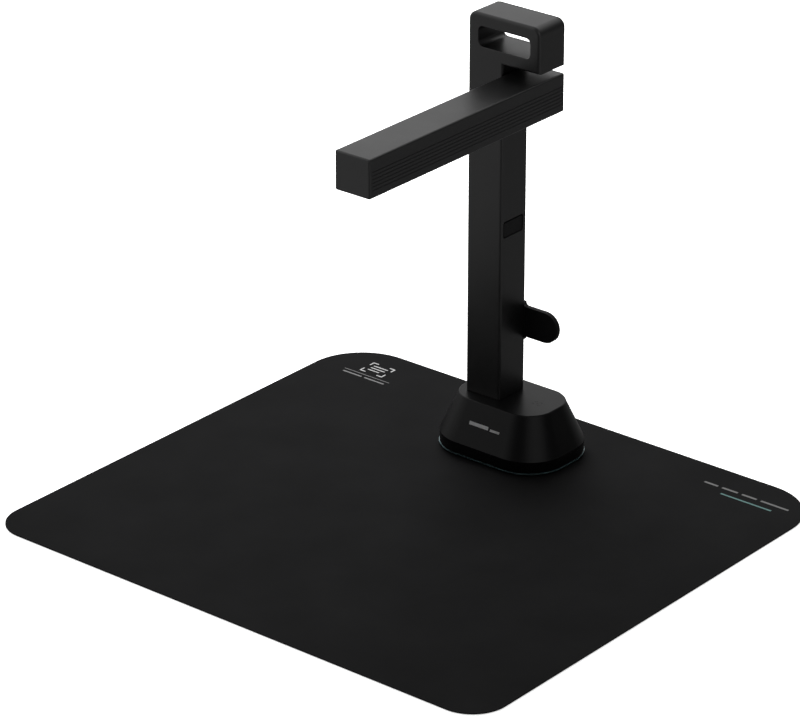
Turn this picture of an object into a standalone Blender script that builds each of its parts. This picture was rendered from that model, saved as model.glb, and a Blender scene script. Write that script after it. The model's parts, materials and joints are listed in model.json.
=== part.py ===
"""Overhead book scanner: a folding camera arm on a stand, with the mat that it stands on.

The frame is in metres: +X to the right, +Y to the back, +Z up, origin at the middle of the mat's
underside. The stand's own pieces are measured from the empty "stand_frame" (middle of the base, on
the mat's top face), and the arm's pieces from the empty "arm_pivot" on the hinge axis.
"""
import math

import bmesh
import bpy
from mathutils import Matrix, Vector

MM = 0.001
GAP = 0.3 * MM                       # between neighbouring pieces
OVER = 2 * MM                        # how far a cutter reaches past the face that it cuts
INTO = 0.1 * MM                      # how far a joined body reaches into the one that carries it
NEAR = 0.01 * MM                     # places closer together than this count as one
FLAT = 0.001                         # faces that meet at a smaller angle, in radians, count as one

# scan mat
MAT_WIDTH = 484 * MM
MAT_DEPTH = 439.5 * MM
MAT_THICK = 1.2 * MM
MAT_BACK_RADIUS = 50 * MM
MAT_FRONT_RADIUS = 30 * MM

# stand
STAND_X = -14.2 * MM                 # middle of the base on the mat
STAND_Y = 145.2 * MM
BASE_WIDTH = 115.6 * MM
BASE_DEPTH = 85.6 * MM
BASE_RADIUS = 34 * MM
BASE_WALL = 2.2 * MM
BASE_DRAFT = 15 * MM                 # how far the shell's sides lean in
BASE_TOP_RADIUS = 22 * MM
BASE_EDGE = 1 * MM                   # rounding round the shell's top face
FOOT_HEIGHT = 1.2 * MM
FOOT_RADIUS = 6.5 * MM
FOOT_EDGE = 0.4 * MM
TRIM_LOW, TRIM_HIGH = 1.9 * MM, 2.8 * MM
TRIM_PROUD = 0.4 * MM
PLINTH_LOW, PLINTH_HIGH = 3.1 * MM, 12.1 * MM
PLATE_LOW, PLATE_HIGH = 1.5 * MM, 3.6 * MM
SHELL_LOW, SHELL_HIGH = 12.4 * MM, 45.9 * MM

# upright: column and head
HEAD_WIDTH = 69.4 * MM
UPRIGHT_DEPTH = 32.4 * MM
COLUMN_WIDTH = 34.1 * MM
UPRIGHT_LOW = SHELL_HIGH + GAP
HEAD_LOW, HEAD_HIGH = 330.8 * MM, 368.5 * MM
HEAD_RADIUS = 7 * MM
UPRIGHT_WALL = 2.2 * MM
UPRIGHT_EDGE = 2.2 * MM
REAR_EDGE = 1.8 * MM
HOLE_EDGE = 0.6 * MM
COVER_THICK = 2.4 * MM
LEFT = -HEAD_WIDTH / 2
COLUMN_RIGHT = LEFT + COLUMN_WIDTH
COLUMN_MIDDLE = LEFT + COLUMN_WIDTH / 2
FRONT = -UPRIGHT_DEPTH / 2
REAR = UPRIGHT_DEPTH / 2
COVER_FRONT = REAR - COVER_THICK

# handle hole through the head
HOLE_LEFT, HOLE_RIGHT = -24.8 * MM, 25.4 * MM
HOLE_LOW, HOLE_HIGH = 341.4 * MM, 358 * MM
HOLE_RADIUS = 4.5 * MM
SLEEVE = 2 * MM                      # wall round the hole, inside the head

# tab on the rear cover, where the folded arm's tip comes to rest
TAB_LOW, TAB_HIGH = 92.4 * MM, 118.2 * MM
TAB_RIGHT = 33.2 * MM
TAB_ROOT = 3 * MM
TAB_PROUD = 2.4 * MM                 # how far the tab stands out behind the cover
TAB_BACK = 7 * MM                    # width of the pad that carries it on the cover
TAB_PAD = 3.5 * MM                   # the pad's height above and below the tab
TAB_EDGE = 0.8 * MM

# recess in the column's right side
RECESS_LOW, RECESS_HIGH = 185 * MM, 199 * MM
RECESS_FRONT, RECESS_REAR = FRONT + 3 * MM, FRONT + 28 * MM
RECESS_RADIUS = 1.8 * MM
INSERT_BELOW = 0.6 * MM              # the insert's pad under the column's face
INSERT_OPEN = 1.5 * MM               # the open strip along the pad's front and top

# arm, measured from the hinge axis
HINGE_Z = 308.05 * MM
ARM_WIDTH = 33.5 * MM
ARM_HEIGHT = 31.7 * MM
ARM_TIP = -218.3 * MM
ARM_REAR = REAR
ARM_X = HEAD_WIDTH / 2 - ARM_WIDTH / 2
ARM_WALL = 1.5 * MM
ARM_TOP_WALL = 1.8 * MM
ARM_EDGE = 1.6 * MM
ARM_COVER = 2 * MM
ARM_LIP = 3.9 * MM                   # width of the underside's rim round the bottom cover
GROOVES = 6
GROOVE_PITCH = 2.9 * MM
GROOVE_WIDTH = 1.3 * MM
GROOVE_DEPTH = 0.35 * MM
GROOVE_LOW = 7 * MM                  # lowest groove above the arm's lower edge
POCKET_START = -188.9 * MM           # lens pocket in the underside, which takes the tab
POCKET_DEPTH = 2.4 * MM
POCKET_WALL = 1.2 * MM               # what is left of the right side beside the pocket
LENS_Y = -203.3 * MM
LAMP_FROM, LAMP_TO = -172 * MM, -52 * MM
LAMP_WIDTH = 12 * MM

# hinge
SHAFT_RADIUS = 4 * MM
SHAFT_BORE = 2.2 * MM
RUNNING = 0.3 * MM                   # radial clearance of the faceted shaft in its bush
CABLE_RADIUS = 1.2 * MM

SPINE_WIDTH = 18 * MM
SPINE_DEPTH = 20 * MM
SPINE_WALL = 1.5 * MM

SCREW_HEAD_RADIUS = 2.8 * MM
SCREW_HEAD = 1.2 * MM
SCREW_HEAD_EDGE = 0.4 * MM
SCREW_SUNK = 0.05 * MM               # a head lies this far below the face, and off its seat
SCREW_WELL = SCREW_HEAD + 2 * SCREW_SUNK
SCREW_SOCKET_RADIUS, SCREW_SOCKET_DEPTH = 1.1 * MM, 0.7 * MM
SCREW_RADIUS = 1.25 * MM
SCREW_LENGTH = 9 * MM
SCREW_POINT = 0.6 * MM
BOSS_RADIUS = 3.2 * MM

CORNER_STEPS = 6
MAT_STEPS = 20
BASE_STEPS = 14
ROUND_STEPS = 32


# ---------------------------------------------------------------- scene and materials

for old in list(bpy.data.objects):
    bpy.data.objects.remove(old, do_unlink=True)

parts = bpy.data.collections.new("book_scanner")
tools = bpy.data.collections.new("book_scanner_cutters")
bpy.context.scene.collection.children.link(parts)
bpy.context.scene.collection.children.link(tools)


def material(name, colour, roughness, metallic=0.0):
    made = bpy.data.materials.new(name)
    made.use_nodes = True
    shader = made.node_tree.nodes["Principled BSDF"]
    shader.inputs["Base Color"].default_value = (*colour, 1.0)
    shader.inputs["Roughness"].default_value = roughness
    shader.inputs["Metallic"].default_value = metallic
    return made


HOUSING = material("housing", (0.016, 0.016, 0.017), 0.45)
GLOSS = material("gloss_black", (0.005, 0.005, 0.006), 0.08)
MAT = material("mat", (0.012, 0.012, 0.013), 0.7)
TRIM = material("trim", (0.25, 0.5, 0.55), 0.25)
RUBBER = material("rubber", (0.02, 0.02, 0.02), 0.85)
STEEL = material("steel", (0.55, 0.56, 0.58), 0.35, 1.0)
CAST = material("cast_iron", (0.12, 0.12, 0.125), 0.6, 0.8)
BOARD = material("circuit_board", (0.01, 0.12, 0.05), 0.4)
BRASS = material("brass", (0.7, 0.5, 0.2), 0.3, 1.0)
OPAL = material("opal", (0.85, 0.86, 0.84), 0.4)
GLASS = material("lens_glass", (0.05, 0.06, 0.09), 0.03)
CABLE = material("cable", (0.02, 0.02, 0.022), 0.5)


def empty(name, location, parent=None):
    made = bpy.data.objects.new(name, None)
    made.location = location
    made.parent = parent
    parts.objects.link(made)
    return made


STAND = empty("stand_frame", (STAND_X, STAND_Y, MAT_THICK))
PIVOT = empty("arm_pivot", (ARM_X, 0, HINGE_Z), STAND)
bpy.context.view_layer.update()


# ---------------------------------------------------------------- modelling helpers

def add(name, mesh, stuff, parent=STAND, location=(0, 0, 0), rotation=(0, 0, 0)):
    """A part: a mesh in the parts' collection, placed under its parent empty."""
    made = bpy.data.objects.new(name, mesh)
    made.parent = parent
    made.location = location
    made.rotation_euler = rotation
    parts.objects.link(made)
    if stuff is not None:
        mesh.materials.append(stuff)
    bpy.context.view_layer.update()
    return made


def hide(tool):
    """Moves a helper body to the cutters' collection, out of the model."""
    parts.objects.unlink(tool)
    tools.objects.link(tool)
    tool.hide_render = True
    tool.display_type = "WIRE"
    return tool


def combine(body, tool, operation):
    step = body.modifiers.new(operation.lower() + "_" + tool.name, "BOOLEAN")
    step.operation = operation
    step.solver = "EXACT"
    step.object = hide(tool)
    return body


def cut(body, *cutters):
    for cutter in cutters:
        combine(body, cutter, "DIFFERENCE")
    return body


def join(body, *additions):
    for addition in additions:
        combine(body, addition, "UNION")
    return body


def outline(corners, steps=CORNER_STEPS):
    """Points of a closed outline from (x, y, radius) corners, each rounded by an arc."""
    points = []
    count = len(corners)
    for i, (x, y, radius) in enumerate(corners):
        here = Vector((x, y))
        if radius == 0:
            points.append((x, y))
            continue
        before = (Vector(corners[i - 1][:2]) - here).normalized()
        after = (Vector(corners[(i + 1) % count][:2]) - here).normalized()
        half = before.angle(after) / 2
        centre = here + (before + after).normalized() * (radius / math.sin(half))
        start = here + before * (radius / math.tan(half)) - centre
        end = here + after * (radius / math.tan(half)) - centre
        sweep = start.angle_signed(end)
        for step in range(steps + 1):
            turned = start.copy()
            turned.rotate(Matrix.Rotation(-sweep * step / steps, 2))
            points.append(tuple(centre + turned))
    return [point for i, point in enumerate(points) if math.dist(point, points[i - 1]) > NEAR]


def rounded(low_x, high_x, low_y, high_y, radius, steps=CORNER_STEPS):
    """Outline of an upright rectangle with four equal round corners."""
    return outline([(low_x, low_y, radius), (high_x, low_y, radius),
                    (high_x, high_y, radius), (low_x, high_y, radius)], steps)


def centred(width, depth, radius, steps=CORNER_STEPS):
    return rounded(-width / 2, width / 2, -depth / 2, depth / 2, radius, steps)


def plate_mesh(name, outlines, low, high):
    """A flat plate: outlines in XY (those inside the first are holes), from z = low to z = high."""
    curve = bpy.data.curves.new(name, "CURVE")
    curve.dimensions = "2D"
    curve.fill_mode = "BOTH"
    curve.extrude = (high - low) / 2
    for points in outlines:
        spline = curve.splines.new("POLY")
        spline.points.add(len(points) - 1)
        for point, (x, y) in zip(spline.points, points):
            point.co = (x, y, 0, 1)
        spline.use_cyclic_u = True
    holder = bpy.data.objects.new(name, curve)
    bpy.context.scene.collection.objects.link(holder)
    evaluated = holder.evaluated_get(bpy.context.evaluated_depsgraph_get())
    mesh = bpy.data.meshes.new_from_object(evaluated)
    bpy.data.objects.remove(holder, do_unlink=True)
    bpy.data.curves.remove(curve)
    mesh.name = name
    bm = bmesh.new()
    bm.from_mesh(mesh)
    bmesh.ops.remove_doubles(bm, verts=bm.verts, dist=NEAR)
    bmesh.ops.translate(bm, verts=bm.verts, vec=(0, 0, (low + high) / 2))
    bmesh.ops.dissolve_limit(bm, angle_limit=FLAT, verts=bm.verts, edges=bm.edges)
    bmesh.ops.recalc_face_normals(bm, faces=bm.faces)
    bm.to_mesh(mesh)
    bm.free()
    return mesh


UP = Matrix.Identity(4)                                                 # outline in XY, thick in Z
UPRIGHT = Matrix(((1, 0, 0, 0), (0, 0, 1, 0), (0, 1, 0, 0), (0, 0, 0, 1)))    # XZ, thick in Y
SIDEWAYS = Matrix(((0, 0, 1, 0), (1, 0, 0, 0), (0, 1, 0, 0), (0, 0, 0, 1)))   # YZ, thick in X


def plate(name, outlines, low, high, stuff=None, parent=STAND, plane=UP):
    mesh = plate_mesh(name, outlines, low, high)
    mesh.transform(plane)
    if plane.determinant() < 0:
        mesh.flip_normals()
    return add(name, mesh, stuff, parent)


def box(name, low, high, stuff=None, parent=STAND):
    mesh = bpy.data.meshes.new(name)
    bm = bmesh.new()
    bmesh.ops.create_cube(bm, size=1)
    size = [b - a for a, b in zip(low, high)]
    middle = [(a + b) / 2 for a, b in zip(low, high)]
    bmesh.ops.scale(bm, verts=bm.verts, vec=size)
    bmesh.ops.translate(bm, verts=bm.verts, vec=middle)
    bm.to_mesh(mesh)
    bm.free()
    return add(name, mesh, stuff, parent)


def rod(name, radius, start, end, stuff=None, parent=STAND, steps=ROUND_STEPS):
    """A cylinder between two points."""
    start, end = Vector(start), Vector(end)
    mesh = bpy.data.meshes.new(name)
    bm = bmesh.new()
    bmesh.ops.create_cone(bm, cap_ends=True, segments=steps, radius1=radius, radius2=radius,
                          depth=(end - start).length)
    turn = (end - start).to_track_quat("Z", "Y").to_matrix().to_4x4()
    bmesh.ops.transform(bm, matrix=Matrix.Translation((start + end) / 2) @ turn, verts=bm.verts)
    bm.to_mesh(mesh)
    bm.free()
    return add(name, mesh, stuff, parent)


def rods(name, radius, spans, parent=STAND, steps=16):
    """Several cylinders as one tool body."""
    mesh = bpy.data.meshes.new(name)
    bm = bmesh.new()
    for start, end in spans:
        start, end = Vector(start), Vector(end)
        turn = (end - start).to_track_quat("Z", "Y").to_matrix().to_4x4()
        bmesh.ops.create_cone(bm, cap_ends=True, segments=steps, radius1=radius, radius2=radius,
                              depth=(end - start).length,
                              matrix=Matrix.Translation((start + end) / 2) @ turn)
    bm.to_mesh(mesh)
    bm.free()
    return add(name, mesh, None, parent)


def round_edges(body, radius, chosen, segments=3):
    """Rounds the edges of a body's own mesh for which chosen(a, b) is true."""
    bm = bmesh.new()
    bm.from_mesh(body.data)
    edges = [edge for edge in bm.edges if chosen(edge.verts[0].co, edge.verts[1].co)]
    bmesh.ops.bevel(bm, geom=edges, offset=radius, segments=segments, profile=0.5,
                    affect="EDGES", clamp_overlap=False)
    bm.to_mesh(body.data)
    bm.free()
    return body


def turned(name, profile, stuff, parent, location, rotation=(0, 0, 0), steps=ROUND_STEPS):
    """A turned piece: (radius, z) points down the outer side, top to bottom, then any bore."""
    mesh = bpy.data.meshes.new(name)
    hollow = min(radius for radius, _ in profile) > 0
    count = len(profile)
    edges = [(i, i + 1) for i in range(count - 1)]
    if hollow:
        edges.append((count - 1, 0))
    mesh.from_pydata([(radius, 0, z) for radius, z in profile], edges, [])
    made = add(name, mesh, stuff, parent, location, rotation)
    screw = made.modifiers.new("turn", "SCREW")
    screw.steps = steps
    screw.render_steps = steps
    screw.use_merge_vertices = True
    screw.merge_threshold = NEAR
    screw.use_smooth_shade = False
    return made


def smooth_path(points, steps):
    """Points along a smooth curve through the given ones (Catmull-Rom)."""
    points = [Vector(p) for p in points]
    padded = [2 * points[0] - points[1], *points, 2 * points[-1] - points[-2]]
    path = []
    for i in range(1, len(padded) - 2):
        a, b, c, d = padded[i - 1:i + 3]
        for k in range(steps):
            t = k / steps
            path.append(0.5 * (2 * b + (c - a) * t + (2 * a - 5 * b + 4 * c - d) * t ** 2
                               + (3 * b - a - 3 * c + d) * t ** 3))
    return path + [points[-1]]


def cable(name, points, parent):
    """A round cable along a smooth route, as a curve with closed ends."""
    curve = bpy.data.curves.new(name, "CURVE")
    curve.dimensions = "3D"
    curve.bevel_depth = CABLE_RADIUS
    curve.bevel_resolution = 2
    curve.use_fill_caps = True
    path = smooth_path(points, 3)
    spline = curve.splines.new("POLY")
    spline.points.add(len(path) - 1)
    for point, co in zip(spline.points, path):
        point.co = (*co, 1)
    made = bpy.data.objects.new(name, curve)
    made.parent = parent
    made.data.materials.append(CABLE)
    parts.objects.link(made)
    return made


# ---------------------------------------------------------------- mat and base

def make_mat():
    x, y = MAT_WIDTH / 2, MAT_DEPTH / 2
    corners = [(-x, -y, MAT_FRONT_RADIUS), (x, -y, MAT_FRONT_RADIUS),
               (x, y, MAT_BACK_RADIUS), (-x, y, MAT_BACK_RADIUS)]
    plate("scan_mat", [outline(corners, MAT_STEPS)], 0, MAT_THICK, MAT, None)


def base_outline(inset):
    """The base's plan outline, moved in by inset all round."""
    return centred(BASE_WIDTH - 2 * inset, BASE_DEPTH - 2 * inset, BASE_RADIUS - inset, BASE_STEPS)


SCREW_X, SCREW_Y = 44 * MM, 27 * MM
BASE_SCREWS = [(sx * SCREW_X, sy * SCREW_Y) for sx in (-1, 1) for sy in (-1, 1)]
FOOT_X, FOOT_Y = 30 * MM, 29 * MM
FEET = [(sx * FOOT_X, sy * FOOT_Y) for sx in (-1, 1) for sy in (-1, 1)]
USB_X, USB_Z = 0, 7.6 * MM
USB_WIDTH, USB_HEIGHT, USB_DEPTH = 8.9 * MM, 3.2 * MM, 7.3 * MM
USB_WALL = 0.35 * MM
USB_BACK = 1 * MM
TONGUE_WIDTH, TONGUE_THICK, TONGUE_RADIUS = 6.4 * MM, 0.7 * MM, 0.2 * MM
TONGUE_SHORT = 0.6 * MM              # the tongue ends this far inside the mouth


def make_screw(name, location, rotation, parent):
    """A pan-head screw whose head's top is at its origin, pointing down its -Z."""
    profile = [(0, -SCREW_SOCKET_DEPTH), (SCREW_SOCKET_RADIUS, -SCREW_SOCKET_DEPTH),
               (SCREW_SOCKET_RADIUS, 0), (SCREW_HEAD_RADIUS - SCREW_HEAD_EDGE, 0),
               (SCREW_HEAD_RADIUS, -SCREW_HEAD_EDGE), (SCREW_HEAD_RADIUS, -SCREW_HEAD),
               (SCREW_RADIUS, -SCREW_HEAD), (SCREW_RADIUS, -SCREW_LENGTH),
               (0, -SCREW_LENGTH - SCREW_POINT)]
    return turned(name, profile, STEEL, parent, location, rotation, 16)


SHELL_SLOPE = (BASE_DRAFT - BASE_EDGE) / (SHELL_HIGH - BASE_EDGE - SHELL_LOW)
SHELL_CEILING = SHELL_HIGH - BASE_WALL
BOSS_TOP = 18 * MM


def shell_outline(inset, wall=0.0):
    """The shell's plan outline where its side has leaned in by inset, or its wall's inner side there."""
    radius = BASE_RADIUS + (BASE_TOP_RADIUS - BASE_RADIUS) * inset / BASE_DRAFT
    away = 2 * (inset + wall)
    return centred(BASE_WIDTH - away, BASE_DEPTH - away, radius - wall, BASE_STEPS)


def loft(name, sections, stuff=None, plane=UP):
    """A closed body through flat outlines of equal count, each (points, height), lowest first."""
    mesh = bpy.data.meshes.new(name)
    bm = bmesh.new()
    rings = [[bm.verts.new((x, y, z)) for x, y in points] for points, z in sections]
    for lower, upper in zip(rings, rings[1:]):
        for i, corner in enumerate(lower):
            bm.faces.new((lower[i - 1], corner, upper[i], upper[i - 1]))
    bm.faces.new(reversed(rings[0]))
    bm.faces.new(rings[-1])
    bmesh.ops.recalc_face_normals(bm, faces=bm.faces)
    bm.to_mesh(mesh)
    bm.free()
    mesh.transform(plane)
    if plane.determinant() < 0:
        mesh.flip_normals()
    return add(name, mesh, stuff)


def make_base_shell():
    """The drafted shell with its rounded top edge, hollow below, with four screw bosses."""
    steps = 4
    sections = [(shell_outline(0), SHELL_LOW)]
    for step in range(steps + 1):
        angle = step / steps * math.pi / 2
        inset = BASE_DRAFT - BASE_EDGE * math.cos(angle)
        sections.append((shell_outline(inset), SHELL_HIGH - BASE_EDGE * (1 - math.sin(angle))))
    shell = loft("base_shell", sections, HOUSING)
    below = SHELL_LOW - OVER
    cavity = loft("base_cavity", [(shell_outline(SHELL_SLOPE * (z - SHELL_LOW), BASE_WALL), z)
                                  for z in (below, SHELL_CEILING)])
    bosses = rods("base_bosses", BOSS_RADIUS,
                  [((x, y, PLATE_HIGH + GAP), (x, y, BOSS_TOP)) for x, y in BASE_SCREWS])
    pilots = rods("base_pilots", SCREW_RADIUS + GAP,
                  [((x, y, 0), (x, y, PLATE_LOW + SCREW_LENGTH + OVER)) for x, y in BASE_SCREWS])
    x, y = SPINE_WIDTH / 2 + 2 * GAP, SPINE_DEPTH / 2 + 2 * GAP
    opening = box("spine_opening", (COLUMN_MIDDLE - x, -y, SHELL_CEILING - OVER),
                  (COLUMN_MIDDLE + x, y, SHELL_HIGH + OVER))
    cut(join(cut(shell, cavity), bosses), pilots, opening)


def oval(width, height, x=0, z=0):
    return rounded(x - width / 2, x + width / 2, z - height / 2, z + height / 2, height / 2)


def make_plinth():
    """The polished plinth under the shell, with the socket's mouth, and the trim ring below it."""
    plinth = plate("base_plinth", [base_outline(0), base_outline(BASE_WALL)], PLINTH_LOW, PLINTH_HIGH,
                   GLOSS)
    mouth = oval(USB_WIDTH + 2 * GAP, USB_HEIGHT + 2 * GAP, USB_X, USB_Z)
    rear = BASE_DEPTH / 2
    cut(plinth, plate("usb_mouth", [mouth], rear - BASE_WALL - OVER, rear + OVER, plane=UPRIGHT))
    plate("trim_ring", [base_outline(-TRIM_PROUD), base_outline(BASE_WALL)], TRIM_LOW, TRIM_HIGH, TRIM)


def make_usb_socket():
    """The socket in the plinth's rear: an oval steel shell, closed behind, round a flat tongue."""
    rear = BASE_DEPTH / 2 - GAP
    socket = plate("usb_socket", [oval(USB_WIDTH, USB_HEIGHT, USB_X, USB_Z)], rear - USB_DEPTH, rear,
                   STEEL, plane=UPRIGHT)

    def tongue(margin):
        x, z = TONGUE_WIDTH / 2 + margin, TONGUE_THICK / 2 + margin
        return rounded(USB_X - x, USB_X + x, USB_Z - z, USB_Z + z, TONGUE_RADIUS, 2)

    inner = oval(USB_WIDTH - 2 * USB_WALL, USB_HEIGHT - 2 * USB_WALL, USB_X, USB_Z)
    cut(socket, plate("usb_inside", [inner, tongue(0)], rear - USB_DEPTH + USB_BACK, rear + OVER,
                      plane=UPRIGHT),
        plate("usb_tongue_end", [tongue(GAP)], rear - TONGUE_SHORT, rear + OVER, plane=UPRIGHT))


def make_base_plate():
    """The steel plate that closes the base from below, its screws and its rubber feet."""
    base = plate("base_plate", [base_outline(BASE_WALL + GAP)], PLATE_LOW, PLATE_HIGH, STEEL)
    heads = rods("base_head_wells", SCREW_HEAD_RADIUS + GAP,
                 [((x, y, PLATE_LOW - OVER), (x, y, PLATE_LOW + SCREW_WELL)) for x, y in BASE_SCREWS])
    holes = rods("base_screw_holes", SCREW_RADIUS + GAP,
                 [((x, y, PLATE_LOW - OVER), (x, y, PLATE_HIGH + OVER)) for x, y in BASE_SCREWS])
    cut(base, heads, holes)
    for i, (x, y) in enumerate(BASE_SCREWS):
        make_screw(f"base_screw_{i + 1}", (x, y, PLATE_LOW + SCREW_SUNK), (math.pi, 0, 0), STAND)
    for i, (x, y) in enumerate(FEET):
        profile = [(0, FOOT_HEIGHT), (FOOT_RADIUS, FOOT_HEIGHT), (FOOT_RADIUS, GAP + FOOT_EDGE),
                   (FOOT_RADIUS - FOOT_EDGE, GAP), (0, GAP)]
        turned(f"rubber_foot_{i + 1}", profile, RUBBER, STAND, (x, y, 0), steps=24)


BALLAST_X, BALLAST_Y = 38 * MM, 31 * MM
BALLAST_LOW, BALLAST_HIGH = PLATE_HIGH + GAP, 16.1 * MM
BALLAST_RADIUS = 8 * MM
BRACKET_LOW = BALLAST_HIGH + GAP
BRACKET_HIGH = BRACKET_LOW + 2.2 * MM
BRACKET_RIGHT, BRACKET_Y, BRACKET_RADIUS = 4 * MM, 16 * MM, 4 * MM
BOARD_LOW = 20 * MM
BOARD_THICK = 1.6 * MM
BOARD_LEFT, BOARD_RIGHT, BOARD_Y, BOARD_RADIUS = 8 * MM, 42 * MM, 22 * MM, 2 * MM
POSTS = [(x, y) for x in (11 * MM, 34 * MM) for y in (-18 * MM, 18 * MM)]
POST_RADIUS = 2 * MM
CHIPS = [("processor", 18 * MM, -7 * MM, 14 * MM, 14 * MM, 1.3 * MM),
         ("memory", 18 * MM, 10 * MM, 9 * MM, 7 * MM, 1.1 * MM),
         ("connector", 8.5 * MM, 11 * MM, 5 * MM, 6 * MM, 3.2 * MM)]
SENSOR_LEFT, SENSOR_RIGHT, SENSOR_Y, SENSOR_RADIUS = 12 * MM, 34 * MM, 11 * MM, 3 * MM
SENSOR_THICK = 1.2 * MM


def spine_hole():
    x, y = SPINE_WIDTH / 2 + GAP, SPINE_DEPTH / 2 + GAP
    return rounded(COLUMN_MIDDLE - x, COLUMN_MIDDLE + x, -y, y, 0.5 * MM, 2)


def make_base_inside():
    """Ballast, the bracket that clamps the spine, the main board and the touch sensor."""
    plate("ballast", [centred(2 * BALLAST_X, 2 * BALLAST_Y, BALLAST_RADIUS), spine_hole()],
          BALLAST_LOW, BALLAST_HIGH, CAST)
    plate("spine_bracket", [rounded(-BALLAST_X, BRACKET_RIGHT, -BRACKET_Y, BRACKET_Y, BRACKET_RADIUS),
                            spine_hole()], BRACKET_LOW, BRACKET_HIGH, STEEL)
    board = plate("main_board", [rounded(BOARD_LEFT, BOARD_RIGHT, -BOARD_Y, BOARD_Y, BOARD_RADIUS, 3)],
                  BOARD_LOW, BOARD_LOW + BOARD_THICK, BOARD)
    top = BOARD_LOW + BOARD_THICK
    join(board, rods("board_posts", POST_RADIUS,
                     [((x, y, BALLAST_HIGH + GAP), (x, y, BOARD_LOW + INTO)) for x, y in POSTS]))
    for name, x, y, width, depth, height in CHIPS:
        join(board, box("board_" + name, (x, y, top - INTO), (x + width, y + depth, top + height)))
    ceiling = SHELL_CEILING - GAP
    plate("touch_sensor", [rounded(SENSOR_LEFT, SENSOR_RIGHT, -SENSOR_Y, SENSOR_Y, SENSOR_RADIUS)],
          ceiling - SENSOR_THICK, ceiling, BOARD)


# ---------------------------------------------------------------- upright

def tab_outline():
    """The tab from the front: a tongue with a round end, on a pad that lies on the rear cover."""
    round_end = (TAB_HIGH - TAB_LOW) / 2
    pad_left, pad_right = COLUMN_RIGHT - TAB_BACK, COLUMN_RIGHT - INTO
    return outline([(pad_left, TAB_LOW - TAB_PAD, TAB_ROOT), (pad_right, TAB_LOW - TAB_PAD, 0),
                    (pad_right, TAB_LOW, TAB_ROOT), (TAB_RIGHT, TAB_LOW, round_end),
                    (TAB_RIGHT, TAB_HIGH, round_end), (pad_right, TAB_HIGH, TAB_ROOT),
                    (pad_right, TAB_HIGH + TAB_PAD, 0), (pad_left, TAB_HIGH + TAB_PAD, TAB_ROOT)])


def upright_outline(inset=0.0, low=UPRIGHT_LOW):
    """The upright's outline from the front: column, and head to the right."""
    corners = [(LEFT + inset, low, 0), (COLUMN_RIGHT - inset, low, 0)]
    right = HEAD_WIDTH / 2
    radius = HEAD_RADIUS - inset
    corners += [(COLUMN_RIGHT - inset, HEAD_LOW + inset, 0), (right - inset, HEAD_LOW + inset, 0),
                (right - inset, HEAD_HIGH - inset, radius), (LEFT + inset, HEAD_HIGH - inset, radius)]
    return outline(corners)


def handle_outline(margin=0.0):
    return rounded(HOLE_LEFT - margin, HOLE_RIGHT + margin, HOLE_LOW - margin, HOLE_HIGH + margin,
                   HOLE_RADIUS + margin)


SCREW_INSET = UPRIGHT_WALL + 2.5 * MM
COVER_SCREWS = [(LEFT + SCREW_INSET, 62 * MM), (COLUMN_RIGHT - SCREW_INSET, 150 * MM),
                (LEFT + SCREW_INSET, 336.2 * MM), (HEAD_WIDTH / 2 - SCREW_INSET, 336.2 * MM)]
COVER_BOSS = 3 * MM
BUSH_RADIUS = 6 * MM


def on_face(y):
    """True for an edge in the plane at depth y, apart from the upright's foot."""
    def chosen(a, b):
        level = abs(a.y - y) < NEAR and abs(b.y - y) < NEAR
        foot = abs(a.z - UPRIGHT_LOW) < NEAR and abs(b.z - UPRIGHT_LOW) < NEAR
        return level and not foot
    return chosen


def handle_cutter(name, front, rear, rounded_at):
    """The handle hole's cutter from front to rear, flared where it leaves the face at rounded_at."""
    toward = 1 if rounded_at == rear else -1
    steps = 3
    sections = [(handle_outline(), (front if rounded_at == rear else rear) - toward * OVER)]
    for step in range(steps + 1):
        angle = step / steps * math.pi / 2
        margin = HOLE_EDGE * (1 - math.cos(angle))
        sections.append((handle_outline(margin), rounded_at - toward * HOLE_EDGE * (1 - math.sin(angle))))
    sections.append((handle_outline(HOLE_EDGE), rounded_at + toward * OVER))
    return loft(name, sections[::toward], plane=UPRIGHT)


def make_upright_housing():
    """Column and head in one front shell, open at the rear and at its foot, with the handle sleeve."""
    rear = COVER_FRONT - GAP
    housing = plate("upright_housing", [upright_outline()], FRONT, rear, HOUSING, plane=UPRIGHT)
    round_edges(housing, UPRIGHT_EDGE, on_face(FRONT))
    inside = FRONT + UPRIGHT_WALL
    cavity = plate("upright_cavity", [upright_outline(UPRIGHT_WALL, UPRIGHT_LOW - OVER),
                                      handle_outline(SLEEVE)], inside, rear + OVER, plane=UPRIGHT)
    bosses = rods("upright_bosses", COVER_BOSS,
                  [((x, inside - INTO, z), (x, rear, z)) for x, z in COVER_SCREWS])
    pilots = rods("upright_pilots", SCREW_RADIUS + GAP,
                  [((x, REAR - SCREW_LENGTH - OVER, z), (x, REAR, z)) for x, z in COVER_SCREWS])
    wall = COLUMN_RIGHT - UPRIGHT_WALL - OVER
    recess = plate("side_recess", [rounded(RECESS_FRONT, RECESS_REAR, RECESS_LOW, RECESS_HIGH,
                                           RECESS_RADIUS)], wall, COLUMN_RIGHT + OVER, plane=SIDEWAYS)
    bush = rod("bush_hole", BUSH_RADIUS + GAP, (wall, 0, HINGE_Z), (COLUMN_RIGHT + OVER, 0, HINGE_Z))
    join(cut(housing, handle_cutter("handle_hole", FRONT, rear, FRONT), cavity), bosses)
    cut(housing, pilots, recess, bush)


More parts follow.
